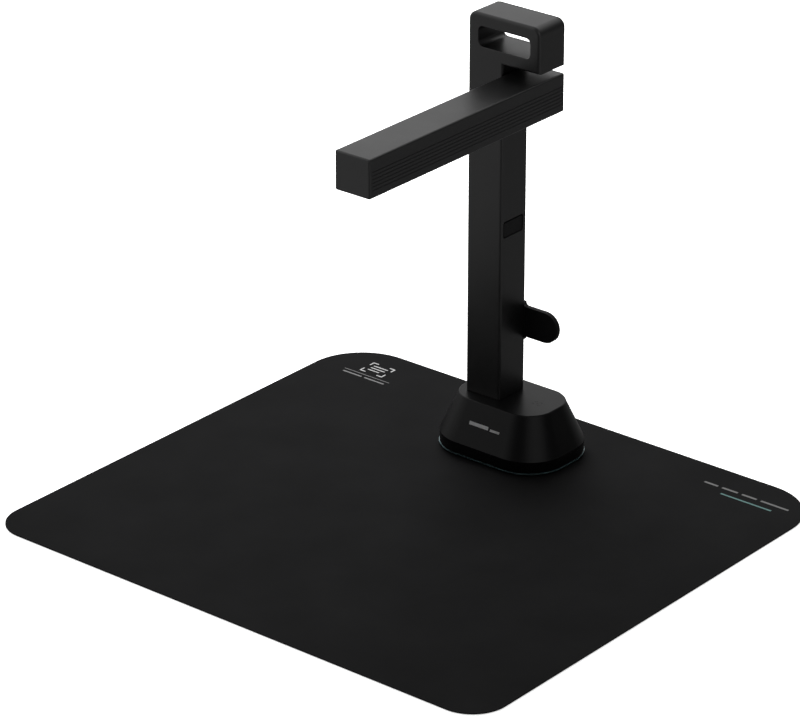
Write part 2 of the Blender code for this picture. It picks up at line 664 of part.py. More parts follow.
def make_rear_cover():
    """The flat rear cover, with the tab that the folded arm's tip rests against."""
    cover = plate("rear_cover", [upright_outline()], COVER_FRONT, REAR, HOUSING, plane=UPRIGHT)
    round_edges(cover, REAR_EDGE, on_face(REAR))
    tab = plate("tab", [tab_outline()], COVER_FRONT + INTO, REAR + TAB_PROUD, plane=UPRIGHT)
    round_edges(tab, TAB_EDGE, on_face(REAR + TAB_PROUD))
    join(cover, tab)
    wells = rods("cover_head_wells", SCREW_HEAD_RADIUS + GAP,
                 [((x, REAR - SCREW_WELL, z), (x, REAR + OVER, z)) for x, z in COVER_SCREWS])
    holes = rods("cover_screw_holes", SCREW_RADIUS + GAP,
                 [((x, COVER_FRONT - OVER, z), (x, REAR + OVER, z)) for x, z in COVER_SCREWS])
    cut(cover, handle_cutter("cover_handle_hole", COVER_FRONT, REAR, REAR), wells, holes)
    for i, (x, z) in enumerate(COVER_SCREWS):
        make_screw(f"cover_screw_{i + 1}", (x, REAR - SCREW_SUNK, z), (-math.pi / 2, 0, 0), STAND)


def make_side_insert():
    """The insert in the column's side: a flange behind the wall and a pad that nearly fills the recess."""
    wall = COLUMN_RIGHT - UPRIGHT_WALL - GAP
    flange = 1.2 * MM
    insert = plate("side_insert", [rounded(RECESS_FRONT - GAP, RECESS_REAR + GAP, RECESS_LOW - OVER,
                                           RECESS_HIGH + OVER, RECESS_RADIUS)],
                   wall - flange, wall, HOUSING, plane=SIDEWAYS)
    join(insert, plate("insert_pad", [rounded(RECESS_FRONT + INSERT_OPEN, RECESS_REAR - GAP,
                                              RECESS_LOW + GAP, RECESS_HIGH - INSERT_OPEN,
                                              RECESS_RADIUS - GAP)],
                       wall - INTO, COLUMN_RIGHT - INSERT_BELOW, plane=SIDEWAYS))


SPINE_LOW, SPINE_HIGH = PLATE_HIGH + GAP, 326 * MM
SPINE_RIGHT = COLUMN_MIDDLE + SPINE_WIDTH / 2


def make_spine():
    """A folded steel channel, open to the rear, that carries the hinge."""
    x, y = SPINE_WIDTH / 2, SPINE_DEPTH / 2
    left, right = COLUMN_MIDDLE - x, COLUMN_MIDDLE + x
    section = [(left, y), (left, -y), (right, -y), (right, y), (right - SPINE_WALL, y),
               (right - SPINE_WALL, -y + SPINE_WALL), (left + SPINE_WALL, -y + SPINE_WALL),
               (left + SPINE_WALL, y)]
    spine = plate("spine", [section], SPINE_LOW, SPINE_HIGH, STEEL)
    cut(spine, rod("spine_shaft_hole", SHAFT_RADIUS + RUNNING,
                   (SPINE_RIGHT - SPINE_WALL - OVER, 0, HINGE_Z), (SPINE_RIGHT + OVER, 0, HINGE_Z)))


# ---------------------------------------------------------------- hinge

ALONG_X = (0, math.pi / 2, 0)
TURNED_EDGE = 0.3 * MM
BUSH_FLANGE = 2.5 * MM
WASHER_RADIUS, WASHER_THICK = 7.4 * MM, 1.1 * MM
SPRING_RADIUS, SPRING_THICK, SPRING_RISE = 7.2 * MM, 0.7 * MM, 0.7 * MM
NUT_RADIUS, NUT_THICK = 7.4 * MM, 4 * MM
FLANGE_RADIUS, FLANGE_THICK = 7.2 * MM, 2 * MM
STACK_BORE = SHAFT_RADIUS + 0.2 * MM
FRAME_SHEET = 1.5 * MM


def ring_profile(outer, inner, low, high):
    """A plain ring, its outer edges broken, as a turned profile."""
    return [(inner, high), (outer - TURNED_EDGE, high), (outer, high - TURNED_EDGE),
            (outer, low + TURNED_EDGE), (outer - TURNED_EDGE, low), (inner, low)]


def make_bush():
    """The flanged bush between spine and arm: its collar shows in the gap beside the column."""
    flange_low, flange_high = SPINE_RIGHT + GAP, COLUMN_RIGHT - UPRIGHT_WALL - GAP
    face = ARM_X - ARM_WIDTH / 2 - GAP
    bore = SHAFT_RADIUS + RUNNING
    flange = BUSH_RADIUS + BUSH_FLANGE
    profile = [(bore, face), (BUSH_RADIUS - TURNED_EDGE, face), (BUSH_RADIUS, face - TURNED_EDGE),
               (BUSH_RADIUS, flange_high), (flange, flange_high), (flange, flange_low), (bore, flange_low)]
    turned("hinge_bush", profile, HOUSING, STAND, (0, 0, HINGE_Z), ALONG_X)


def circle(radius, count):
    return [(radius * math.cos(k * math.tau / count), radius * math.sin(k * math.tau / count))
            for k in range(count)]


def make_hinge_stack():
    """Friction washer, spring washer and nut on the shaft, inside the spine; all turn with the arm."""
    washer = SPINE_RIGHT - SPINE_WALL - ARM_X - GAP
    turned("friction_washer", ring_profile(WASHER_RADIUS, STACK_BORE, washer - WASHER_THICK, washer),
           BRASS, PIVOT, (0, 0, 0), ALONG_X)
    cup = washer - WASHER_THICK - GAP
    spring = [(STACK_BORE, cup - SPRING_RISE), (SPRING_RADIUS, cup), (SPRING_RADIUS, cup - SPRING_THICK),
              (STACK_BORE, cup - SPRING_RISE - SPRING_THICK)]
    turned("spring_washer", spring, STEEL, PIVOT, (0, 0, 0), ALONG_X)
    nut = cup - SPRING_RISE - SPRING_THICK - GAP
    hexagon = circle(NUT_RADIUS, 6)
    plate("hinge_nut", [hexagon, circle(STACK_BORE, 24)], nut - NUT_THICK, nut, STEEL, PIVOT, SIDEWAYS)
    return nut - NUT_THICK


def make_shaft(nut_end):
    """The hollow shaft: the cable passes through it, and its flange is fixed to the arm frame."""
    low = -ARM_WIDTH / 2 + ARM_WALL + GAP + FRAME_SHEET + GAP
    high = low + FLANGE_THICK
    end = nut_end - 1 * MM
    profile = [(SHAFT_BORE, high), (FLANGE_RADIUS, high), (FLANGE_RADIUS, low), (SHAFT_RADIUS, low),
               (SHAFT_RADIUS, end + TURNED_EDGE), (SHAFT_RADIUS - TURNED_EDGE, end), (SHAFT_BORE, end)]
    turned("hinge_shaft", profile, STEEL, PIVOT, (0, 0, 0), ALONG_X)
    return end


# ---------------------------------------------------------------- arm

SIDE = ARM_WIDTH / 2
TOP = ARM_HEIGHT / 2
BOTTOM = -ARM_HEIGHT / 2
TIP_INSIDE = ARM_TIP + ARM_WALL
REAR_INSIDE = ARM_REAR - ARM_WALL
ARM_SCREWS = [(8 * MM, 6 * MM), (8 * MM, -181 * MM)]
POCKET_ROOF = BOTTOM + POCKET_DEPTH   # also the cavity's lower end
CAVITY_RADIUS = 1 * MM
GROOVE_END = 3 * MM                  # plain stretch between a groove's end and the arm's


def make_arm_housing():
    """The arm's shell: top, sides and ends in one, open below, with grooves along its right side."""
    housing = box("arm_housing", (-SIDE, ARM_TIP, BOTTOM), (SIDE, ARM_REAR, TOP), HOUSING, PIVOT)
    round_edges(housing, ARM_EDGE, lambda a, b: True, 4)
    cavity = plate("arm_cavity", [rounded(-SIDE + ARM_WALL, SIDE - ARM_WALL, TIP_INSIDE, REAR_INSIDE,
                                          CAVITY_RADIUS, 2)], POCKET_ROOF, TOP - ARM_TOP_WALL, parent=PIVOT)
    seat = box("arm_cover_seat", (-SIDE + ARM_LIP, POCKET_START - OVER, BOTTOM - OVER),
               (SIDE - ARM_LIP, ARM_REAR - ARM_LIP, POCKET_ROOF + OVER), parent=PIVOT)
    notch = box("tab_notch", (-SIDE - OVER, TIP_INSIDE, BOTTOM - OVER),
                (SIDE - POCKET_WALL, POCKET_START, POCKET_ROOF + GAP), parent=PIVOT)
    shaft_hole = rod("arm_shaft_hole", SHAFT_RADIUS + GAP, (-SIDE - OVER, 0, 0),
                     (-SIDE + ARM_WALL + OVER, 0, 0), parent=PIVOT)
    bosses = rods("arm_bosses", BOSS_RADIUS,
                  [((x, y, BOTTOM + ARM_COVER + GAP), (x, y, TOP - ARM_TOP_WALL + INTO))
                   for x, y in ARM_SCREWS], PIVOT)
    pilots = rods("arm_pilots", SCREW_RADIUS + GAP,
                  [((x, y, BOTTOM), (x, y, BOTTOM + SCREW_LENGTH + OVER)) for x, y in ARM_SCREWS], PIVOT)
    join(cut(housing, cavity, seat, notch), bosses)
    cut(housing, pilots, shaft_hole)
    for k in range(GROOVES):
        low = BOTTOM + GROOVE_LOW + k * GROOVE_PITCH - GROOVE_WIDTH / 2
        cut(housing, box(f"groove_{k + 1}", (SIDE - GROOVE_DEPTH, ARM_TIP + GROOVE_END, low),
                         (SIDE + OVER, ARM_REAR - GROOVE_END, low + GROOVE_WIDTH), parent=PIVOT))


LENS_HOLE = 8 * MM
SLOT_RADIUS = 3 * MM
COVER_STEP = 2 * MM                  # thickness of the cover's upright step at the pocket


def lamp_outline(inset):
    """The lamp slot's outline, moved in by inset all round."""
    x = LAMP_WIDTH / 2 - inset
    return rounded(-x, x, LAMP_FROM + inset, LAMP_TO - inset, SLOT_RADIUS - inset)


def make_arm_cover():
    """The arm's bottom cover: lamp slot, and at the tip the stepped-in lens pocket."""
    rear = ARM_REAR - ARM_LIP - GAP
    inner = BOTTOM + ARM_COVER
    tray = POCKET_ROOF + ARM_COVER
    section = [(rear, BOTTOM), (POCKET_START, BOTTOM), (POCKET_START, tray - INTO),
               (POCKET_START + COVER_STEP, tray - INTO), (POCKET_START + COVER_STEP, inner), (rear, inner)]
    half = SIDE - ARM_LIP - GAP
    cover = plate("arm_bottom_cover", [section], -half, half, HOUSING, PIVOT, SIDEWAYS)
    tray_half = SIDE - ARM_WALL - GAP
    join(cover, box("pocket_tray", (-tray_half, TIP_INSIDE + GAP, POCKET_ROOF + INTO),
                    (tray_half, POCKET_START + COVER_STEP / 2, tray), parent=PIVOT))
    slot = plate("lamp_slot", [lamp_outline(0)], BOTTOM - OVER, inner + OVER, parent=PIVOT)
    lens = rod("lens_hole", LENS_HOLE, (0, LENS_Y, BOTTOM - OVER), (0, LENS_Y, tray + OVER), parent=PIVOT)
    wells = rods("arm_head_wells", SCREW_HEAD_RADIUS + GAP,
                 [((x, y, BOTTOM - OVER), (x, y, BOTTOM + SCREW_WELL)) for x, y in ARM_SCREWS], PIVOT)
    holes = rods("arm_screw_holes", SCREW_RADIUS + GAP,
                 [((x, y, BOTTOM - OVER), (x, y, inner + OVER)) for x, y in ARM_SCREWS], PIVOT)
    cut(cover, slot, lens, wells, holes)
    for i, (x, y) in enumerate(ARM_SCREWS):
        make_screw(f"arm_screw_{i + 1}", (x, y, BOTTOM + SCREW_SUNK), (math.pi, 0, 0), PIVOT)


FRAME_LOW, FRAME_RIGHT, FRAME_TIP = -10 * MM, 4 * MM, -180 * MM


def make_arm_frame():
    """A folded steel angle along the arm: the shaft's flange is fixed to its side."""
    left = -SIDE + ARM_WALL + GAP
    inner = left + FRAME_SHEET
    top = TOP - ARM_TOP_WALL - GAP
    under = top - FRAME_SHEET
    section = [(left, top), (left, FRAME_LOW), (inner, FRAME_LOW), (inner, under), (FRAME_RIGHT, under),
               (FRAME_RIGHT, top)]
    frame = plate("arm_frame", [section], FRAME_TIP, REAR_INSIDE - 1 * MM, STEEL, PIVOT, UPRIGHT)
    cut(frame, rod("frame_shaft_hole", SHAFT_RADIUS + GAP, (left - OVER, 0, 0), (inner + OVER, 0, 0),
                   parent=PIVOT))


DIFFUSER_BELOW = 0.2 * MM            # the diffuser's face is this far inside the cover's
LED_BOARD_LOW, LED_BOARD_THICK = BOTTOM + 4 * MM, 1.2 * MM
LED_BOARD_X, LED_BOARD_PAST = 7 * MM, 2 * MM
LED_COUNT = 10
LED_FIRST = 6 * MM                   # from the slot's end to the first LED's middle
LED_X, LED_Y, LED_HEIGHT = 1.4 * MM, 1.75 * MM, 0.7 * MM


def make_lamp():
    """The opal diffuser, almost flush in the bottom cover, and the LED board above it."""
    plate("lamp_diffuser", [lamp_outline(GAP)], BOTTOM + DIFFUSER_BELOW, BOTTOM + ARM_COVER, OPAL, PIVOT)
    board = plate("led_board", [rounded(-LED_BOARD_X, LED_BOARD_X, LAMP_FROM - LED_BOARD_PAST,
                                        LAMP_TO + LED_BOARD_PAST, 1 * MM, 2)],
                  LED_BOARD_LOW, LED_BOARD_LOW + LED_BOARD_THICK, BOARD, PIVOT)
    first = LAMP_FROM + LED_FIRST
    pitch = (LAMP_TO - LED_FIRST - first) / (LED_COUNT - 1)
    for k in range(LED_COUNT):
        y = first + k * pitch
        join(board, box(f"led_{k + 1}", (-LED_X, y - LED_Y, LED_BOARD_LOW - LED_HEIGHT),
                        (LED_X, y + LED_Y, LED_BOARD_LOW + INTO), parent=PIVOT))


LENS_LOW = POCKET_ROOF + 2.2 * MM
BEZEL_OUTER, BEZEL_INNER, BEZEL_THICK = 7.6 * MM, 5.2 * MM, 1.9 * MM
BARREL_RADIUS, BARREL_FLANGE, BARREL_BORE = 6.2 * MM, 6.8 * MM, 3.2 * MM
BARREL_HEIGHT, BARREL_STEP = 9 * MM, 2 * MM
LENS_SEAT, LENS_RADIUS = 4.9 * MM, 4.6 * MM
DOME_LOW, DOME_RISE = 0.7 * MM, 1.1 * MM
HOLDER_HALF, HOLDER_UP, HOLDER_HEIGHT = 9 * MM, 2.6 * MM, 8.9 * MM
CAMERA_BOARD_HALF, CAMERA_BOARD_THICK = 12.8 * MM, 1.6 * MM


def make_camera():
    """Bezel, glass and barrel of the lens, its holder and the sensor's board."""
    place = (0, LENS_Y, 0)
    high = POCKET_ROOF + BEZEL_THICK
    edge = 0.4 * MM
    turned("lens_bezel", [(BEZEL_INNER + edge, high), (BEZEL_OUTER, high),
                          (BEZEL_OUTER, POCKET_ROOF + edge), (BEZEL_OUTER - edge, POCKET_ROOF),
                          (BEZEL_INNER + 2 * edge, POCKET_ROOF), (BEZEL_INNER, POCKET_ROOF + 2 * edge),
                          (BEZEL_INNER, high - edge)], GLOSS, PIVOT, place)
    barrel_high = LENS_LOW + BARREL_HEIGHT
    step = LENS_LOW + BARREL_STEP
    seat = LENS_LOW + 1.4 * BARREL_STEP
    turned("lens_barrel", [(BARREL_BORE, barrel_high), (BARREL_RADIUS, barrel_high), (BARREL_RADIUS, step),
                           (BARREL_FLANGE, step), (BARREL_FLANGE, LENS_LOW), (LENS_SEAT, LENS_LOW),
                           (LENS_SEAT, seat), (BARREL_BORE, 2 * seat - step)], STEEL, PIVOT, place)
    turns = [k * math.pi / 12 for k in range(7)]
    dome = [(LENS_RADIUS * math.cos(turn), LENS_LOW + DOME_LOW - DOME_RISE * math.sin(turn))
            for turn in turns]
    turned("lens_glass", [(0, step), (LENS_RADIUS, step), *dome], GLASS, PIVOT, place)
    holder_low = LENS_LOW + HOLDER_UP
    holder_high = holder_low + HOLDER_HEIGHT
    holder = box("lens_holder", (-HOLDER_HALF, LENS_Y - HOLDER_HALF, holder_low),
                 (HOLDER_HALF, LENS_Y + HOLDER_HALF, holder_high), HOUSING, PIVOT)
    cut(holder, rod("holder_bore", BARREL_RADIUS + GAP, (0, LENS_Y, holder_low - OVER),
                    (0, LENS_Y, barrel_high + GAP), parent=PIVOT),
        rod("holder_light_path", BARREL_BORE, (0, LENS_Y, holder_low), (0, LENS_Y, holder_high + OVER),
            parent=PIVOT))
    board_low = holder_high + GAP
    half = CAMERA_BOARD_HALF
    plate("camera_board", [rounded(-half, half, LENS_Y - half, LENS_Y + half, 1.5 * MM, 3)],
          board_low, board_low + CAMERA_BOARD_THICK, BOARD, PIVOT)
    return board_low + CAMERA_BOARD_THICK / 2


# ---------------------------------------------------------------- cables

def make_cables(shaft_end, board_height):
    """Two lengths that meet in the hollow shaft: one stays in the column, one turns with the arm."""
    x = COLUMN_MIDDLE - 4.8 * MM
    mouth = shaft_end + ARM_X
    z = BOARD_LOW + BOARD_THICK + 1.5 * MM
    start = CHIPS[-1][1] - GAP
    cable("column_cable", [(start, 14 * MM, z), (2 * MM, 15 * MM, z + 2 * MM),
                           (-10 * MM, 14 * MM, z + 9 * MM), (-18 * MM, 6 * MM, z + 18 * MM),
                           (x + 0.5 * MM, 1 * MM, 60 * MM), (x, 0, 90 * MM), (x, 0, 180 * MM),
                           (x, 0, 270 * MM), (x, 0, 300 * MM), (x + 0.9 * MM, 0, 305.6 * MM),
                           (mouth - GAP, 0, HINGE_Z)], STAND)
    cable("arm_cable", [(shaft_end + 2 * MM, 0, 0), (shaft_end + 12 * MM, 0, 0), (-12 * MM, 0, 0),
                        (-5 * MM, -3 * MM, 0.2 * MM), (-1 * MM, -12 * MM, 0.8 * MM),
                        (3 * MM, -40 * MM, board_height), (3 * MM, -90 * MM, board_height),
                        (3 * MM, -140 * MM, board_height), (1 * MM, -175 * MM, board_height),
                        (0, LENS_Y + CAMERA_BOARD_HALF + GAP, board_height)], PIVOT)


make_mat()
make_base_shell()
make_plinth()
make_usb_socket()
make_base_plate()
make_base_inside()
make_upright_housing()
make_rear_cover()
make_side_insert()
make_spine()
make_bush()
shaft_left = make_shaft(make_hinge_stack())
make_arm_housing()
make_arm_cover()
make_arm_frame()
make_lamp()
make_cables(shaft_left, make_camera())
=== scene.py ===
import json
import math
from functools import reduce

import bmesh
import bpy
import numpy as np
from mathutils import Matrix, Vector


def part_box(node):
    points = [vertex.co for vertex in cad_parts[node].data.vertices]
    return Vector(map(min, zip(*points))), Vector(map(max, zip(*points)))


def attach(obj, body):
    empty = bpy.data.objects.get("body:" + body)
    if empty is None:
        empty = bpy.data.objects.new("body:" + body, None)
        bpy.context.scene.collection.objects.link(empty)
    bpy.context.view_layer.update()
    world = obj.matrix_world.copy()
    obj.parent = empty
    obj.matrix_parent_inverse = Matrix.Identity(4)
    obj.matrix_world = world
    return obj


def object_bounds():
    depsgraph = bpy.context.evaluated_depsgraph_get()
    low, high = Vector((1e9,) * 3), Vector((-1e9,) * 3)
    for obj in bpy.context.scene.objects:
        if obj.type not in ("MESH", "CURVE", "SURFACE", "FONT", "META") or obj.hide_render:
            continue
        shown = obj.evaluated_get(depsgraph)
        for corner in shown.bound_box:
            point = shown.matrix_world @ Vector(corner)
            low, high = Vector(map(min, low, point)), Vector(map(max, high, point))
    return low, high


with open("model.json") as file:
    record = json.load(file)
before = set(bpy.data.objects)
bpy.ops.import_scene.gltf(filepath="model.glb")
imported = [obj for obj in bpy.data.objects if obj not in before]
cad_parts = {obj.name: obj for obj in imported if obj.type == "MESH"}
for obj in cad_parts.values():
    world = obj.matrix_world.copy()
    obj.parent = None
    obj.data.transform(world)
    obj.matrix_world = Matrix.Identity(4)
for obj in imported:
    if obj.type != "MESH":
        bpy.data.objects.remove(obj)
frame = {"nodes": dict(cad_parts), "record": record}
CAD_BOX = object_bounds()
NODES = frame["nodes"]

MM = 0.001

# camera: where it stands over the middle of the mat's underside, and the way it looks
CAMERA_PLACE = Vector((1.7769, -2.1716, 1.4221))
CAMERA_FORWARD = Vector((-0.5777, 0.7017, -0.4171))
CAMERA_LENS = 181.86
CAMERA_SENSOR = 36.0

# studio: what the object mirrors is the world, and what lights it are soft lamps that mirrors don't show.
# Each glow is the way to its middle, the cosines off it where the glow starts and where it is full, and the
# strengths outside and inside.
UP = Vector((0, 0, 1))
GLOWS_ABOVE = [
    (Vector((-0.5777, 0.7017, 0.4171)), 0.35, 0.85, 0.1, 0.95),      # backdrop, behind on the left
    (UP, 0.35, 0.7, 0.0, 0.2),                                       # ceiling
    (Vector((-0.77, -0.54, 0.34)), 0.64, 0.96, 0.0, 0.85),           # softbox, front left
    (Vector((0.83, -0.44, 0.34)), 0.81, 0.99, 0.0, 0.95),            # softbox, front right
]
GLOWS_BELOW = [
    (Vector((-0.5777, -0.7017, -0.4171)), 0.6, 0.95, 0.18, 0.48),    # pool of light, front left
    (Vector((0.909, 0.0, -0.4171)), 0.75, 0.98, 0.0, 0.25),          # pool of light, right
]
HORIZON = 0.03                       # sine of the angle over which above and below blend, each way
LAMPS = [                            # name, place, side in metres, power in watts
    ("key", (-1.0, 0.95, 1.25), 1.3, 55),
    ("overhead", (0.3, -0.2, 2.4), 2.4, 12),
]
FLOOR_SIZE = 12.0
FLOOR_DROP = 0.05 * MM               # gap between the floor and the mat
FLOOR_GLOW = 0.6

# faces of the rear cover that belong to its tab and the pad under it
TAB_FROM = -13.5 * MM                # right of this, just off the column's side,
TAB_DEEP = 2.3 * MM                  # or within this of the cover's rearmost face,
TAB_BELOW = 200 * MM                 # and in either case below this

# printed marks
INK = 0.03 * MM                      # thickness of the print
BAR_ROUND = 0.2 * MM                 # corner radius of a printed bar
MAT_SIGN_IN = (27 * MM, 52 * MM)     # mat sign, in from the mat's left and back edges
MAT_LINES_IN = (99 * MM, 29 * MM)    # lines at the back right, in from the mat's right and back edges
SHELL_GAP = 0.3 * MM                 # from the plinth's top up to the shell's foot
SHELL_LEAN = 14 / 32.5               # how far the shell's front leans in for each unit of height
BASE_SIGN_LEFT = 15.4 * MM           # base sign: start, left of the base's middle
BASE_SIGN_RISE = 15.2 * MM           # and height above the shell's foot
TOUCH_SIGN_OFF = (22 * MM, -3 * MM)  # touch key mark, from the base's middle

SMOOTH_BELOW = math.radians(34)      # faces that meet at a smaller angle are shaded as one surface
SAME_PLACE = 0.002 * MM              # step of the grid on which corners are matched


# ---------------------------------------------------------------- node helpers

class Look:
    """A node material: a Principled shader and short calls that add nodes before it."""

    def __init__(self, name):
        self.material = bpy.data.materials.new(name)
        self.material.use_nodes = True
        self.tree = self.material.node_tree
        self.shader = self.tree.nodes["Principled BSDF"]

    def node(self, kind, **settings):
        made = self.tree.nodes.new(kind)
        for key, value in settings.items():
            setattr(made, key, value)
        return made

    def link(self, source, target):
        self.tree.links.new(source, target)

    def set(self, **values):
        """Sets the shader's own sockets: base_color=(r, g, b), roughness=0.4 and so on."""
        for key, value in values.items():
            socket = self.shader.inputs[key.replace("_", " ").title().replace("Ior", "IOR")]
            socket.default_value = (*value, 1.0) if isinstance(value, tuple) else value
        return self

    def position(self, scale=(1, 1, 1)):
        """Object coordinates in metres: they stay with the piece when it moves."""
        place = self.node("ShaderNodeTexCoord").outputs["Object"]
        mapping = self.node("ShaderNodeMapping")
        mapping.inputs["Scale"].default_value = scale
        self.link(place, mapping.inputs["Vector"])
        return mapping.outputs["Vector"]

    def noise(self, size, detail=2.0, rough=0.5, stretch=(1, 1, 1)):
        """Noise from 0 to 1 with features about size metres across, and finer along a stretched axis."""
        made = self.node("ShaderNodeTexNoise")
        made.inputs["Scale"].default_value = 1 / size
        made.inputs["Detail"].default_value = detail
        made.inputs["Roughness"].default_value = rough
        self.link(self.position(stretch), made.inputs["Vector"])
        return made.outputs["Fac"]

    def spread(self, value, low, high, from_low=0.0, from_high=1.0):
        """Maps a value from its own range to low and high."""
        made = self.node("ShaderNodeMapRange")
        made.inputs["From Min"].default_value = from_low
        made.inputs["From Max"].default_value = from_high
        made.inputs["To Min"].default_value = low
        made.inputs["To Max"].default_value = high
        self.link(value, made.inputs["Value"])
        return made.outputs["Result"]

    def blend(self, value, dark, light):
        """A colour between two, by value."""
        made = self.node("ShaderNodeMix", data_type="RGBA")
        made.inputs["A"].default_value = (*dark, 1)
        made.inputs["B"].default_value = (*light, 1)
        self.link(value, made.inputs["Factor"])
        return made.outputs["Result"]

    def math(self, operation, a, b):
        """A Math node on two outputs."""
        made = self.node("ShaderNodeMath", operation=operation)
        self.link(a, made.inputs[0])
        self.link(b, made.inputs[1])
        return made.outputs["Value"]

    def colour(self, output):
        self.link(output, self.shader.inputs["Base Color"])
        return self

    def roughness(self, output):
        self.link(output, self.shader.inputs["Roughness"])
        return self

    def bump(self, height, depth, strength):
        """Bump from a height of 0 to 1 that stands for depth metres."""
        made = self.node("ShaderNodeBump")
        made.inputs["Distance"].default_value = depth
        made.inputs["Strength"].default_value = strength
        self.link(height, made.inputs["Height"])
        self.link(made.outputs["Normal"], self.shader.inputs["Normal"])
        return self


# ---------------------------------------------------------------- materials

def moulded_plastic(name="satin_black_plastic", shine=0.5, low=0.32, high=0.42):
    """Satin black ABS with the fine spark-eroded grain of its mould."""
    look = Look(name).set(ior=1.5, specular_ior_level=shine)
    grain = look.noise(0.45 * MM, 3, 0.6)
    cloud = look.noise(28 * MM, 2)
    look.colour(look.blend(cloud, (0.003, 0.003, 0.0032), (0.0045, 0.0045, 0.0048)))
    look.roughness(look.spread(look.math("ADD", grain, cloud), low, high, 0.6, 1.4))
    return look.bump(grain, 0.01 * MM, 0.4).material


def polished_plastic():
    """Piano black: almost a mirror, with faint waviness and hairline wiping marks."""
    look = Look("polished_black_plastic").set(ior=1.5)
    waves = look.noise(9 * MM, 1)
    wipes = look.noise(1.2 * MM, 4, 0.7, stretch=(1, 1, 9))
    look.colour(look.blend(waves, (0.002, 0.002, 0.0022), (0.004, 0.004, 0.0044)))
    look.roughness(look.spread(wipes, 0.06, 0.16))
    return look.bump(waves, 0.03 * MM, 0.3).material


def mat_sheet():
    """Dull black sheet with a fine pebbled grain."""
    look = Look("scan_mat_sheet").set(ior=1.45, specular_ior_level=0.03)
    pebble = look.node("ShaderNodeTexVoronoi", feature="SMOOTH_F1")
    pebble.inputs["Scale"].default_value = 1 / (0.9 * MM)
    look.link(look.position(), pebble.inputs["Vector"])
    cloud = look.noise(60 * MM, 3)
    speck = look.noise(1.1 * MM, 3, 0.6)
    patches = look.math("MULTIPLY", cloud, speck)
    look.colour(look.blend(patches, (0.008, 0.008, 0.0082), (0.0185, 0.0185, 0.0189)))
    look.roughness(look.spread(speck, 0.75, 0.9, 0.3, 0.7))
    return look.bump(pebble.outputs["Distance"], 0.05 * MM, 0.5).material


def trim_plastic():
    """Pale translucent plastic with a smooth face."""
    look = Look("trim_plastic").set(ior=1.49, transmission_weight=0.25)
    cloud = look.noise(30 * MM, 2)
    look.colour(look.blend(cloud, (0.16, 0.26, 0.27), (0.22, 0.34, 0.36)))
    look.roughness(look.spread(cloud, 0.1, 0.2))
    return look.material


def rubber():
    """Dull black rubber."""
    look = Look("foot_rubber").set(ior=1.5)
    grain = look.noise(0.5 * MM, 3)
    look.colour(look.blend(grain, (0.014, 0.014, 0.014), (0.026, 0.026, 0.026)))
    look.roughness(look.spread(grain, 0.75, 0.92))
    return look.bump(grain, 0.05 * MM, 0.5).material


def streaked_metal(name, light, dark, stretch):
    """Rolled or turned metal: fine streaks that run along one way."""
    look = Look(name).set(metallic=1.0)
    streaks = look.noise(1.6 * MM, 4, 0.65, stretch=stretch)
    cloud = look.noise(14 * MM, 2)
    look.colour(look.blend(look.math("MULTIPLY", streaks, cloud), dark, light))
    look.roughness(look.spread(streaks, 0.24, 0.42, 0.3, 0.7))
    return look.bump(streaks, 0.01 * MM, 0.4).material


def cast_iron():
    """Rough casting under a coat of dark paint."""
    look = Look("painted_cast_iron").set(metallic=0.3)
    grain = look.noise(1.3 * MM, 5, 0.7)
    look.colour(look.blend(grain, (0.05, 0.05, 0.052), (0.11, 0.11, 0.115)))
    look.roughness(look.spread(grain, 0.5, 0.75))
    return look.bump(grain, 0.15 * MM, 0.7).material


def circuit_board():
    """Green solder mask with a pattern of tracks under it."""
    look = Look("solder_mask").set(ior=1.55, coat_weight=0.3, coat_roughness=0.15)
    tracks = look.node("ShaderNodeTexBrick")
    tracks.inputs["Scale"].default_value = 420
    tracks.inputs["Mortar Size"].default_value = 0.03
    tracks.inputs["Color1"].default_value = (0.006, 0.075, 0.028, 1)
    tracks.inputs["Color2"].default_value = (0.008, 0.095, 0.036, 1)
    tracks.inputs["Mortar"].default_value = (0.02, 0.17, 0.07, 1)
    look.link(look.position(), tracks.inputs["Vector"])
    look.colour(tracks.outputs["Color"])
    look.roughness(look.spread(look.noise(2 * MM), 0.3, 0.45))
    return look.bump(tracks.outputs["Fac"], 0.03 * MM, 0.4).material


def opal():
    """White diffusing plastic."""
    look = Look("opal_diffuser").set(ior=1.49, subsurface_weight=0.3, subsurface_scale=0.002)
    cloud = look.noise(8 * MM, 2)
    look.colour(look.blend(cloud, (0.78, 0.79, 0.76), (0.86, 0.87, 0.85)))
    look.roughness(look.spread(cloud, 0.35, 0.5))
    return look.material


def coated_glass():
    """Dark lens glass, with a painted violet reflection of its coating that shows at grazing angles."""
    look = Look("coated_lens").set(ior=1.6, coat_weight=1.0, coat_roughness=0.02)
    # painted reflection: the base colour turns violet where the glass is seen edge-on, by viewing angle
    rim = look.node("ShaderNodeLayerWeight")
    rim.inputs["Blend"].default_value = 0.45
    look.colour(look.blend(rim.outputs["Facing"], (0.012, 0.012, 0.03), (0.06, 0.02, 0.1)))
    look.roughness(look.spread(look.noise(3 * MM), 0.02, 0.05))
    return look.material


def cable_jacket():
    """Satin black jacket of a cable."""
    look = Look("cable_jacket").set(ior=1.5)
    grain = look.noise(0.6 * MM, 3)
    look.colour(look.blend(grain, (0.014, 0.014, 0.016), (0.028, 0.028, 0.03)))
    look.roughness(look.spread(grain, 0.4, 0.6))
    return look.bump(grain, 0.03 * MM, 0.4).material


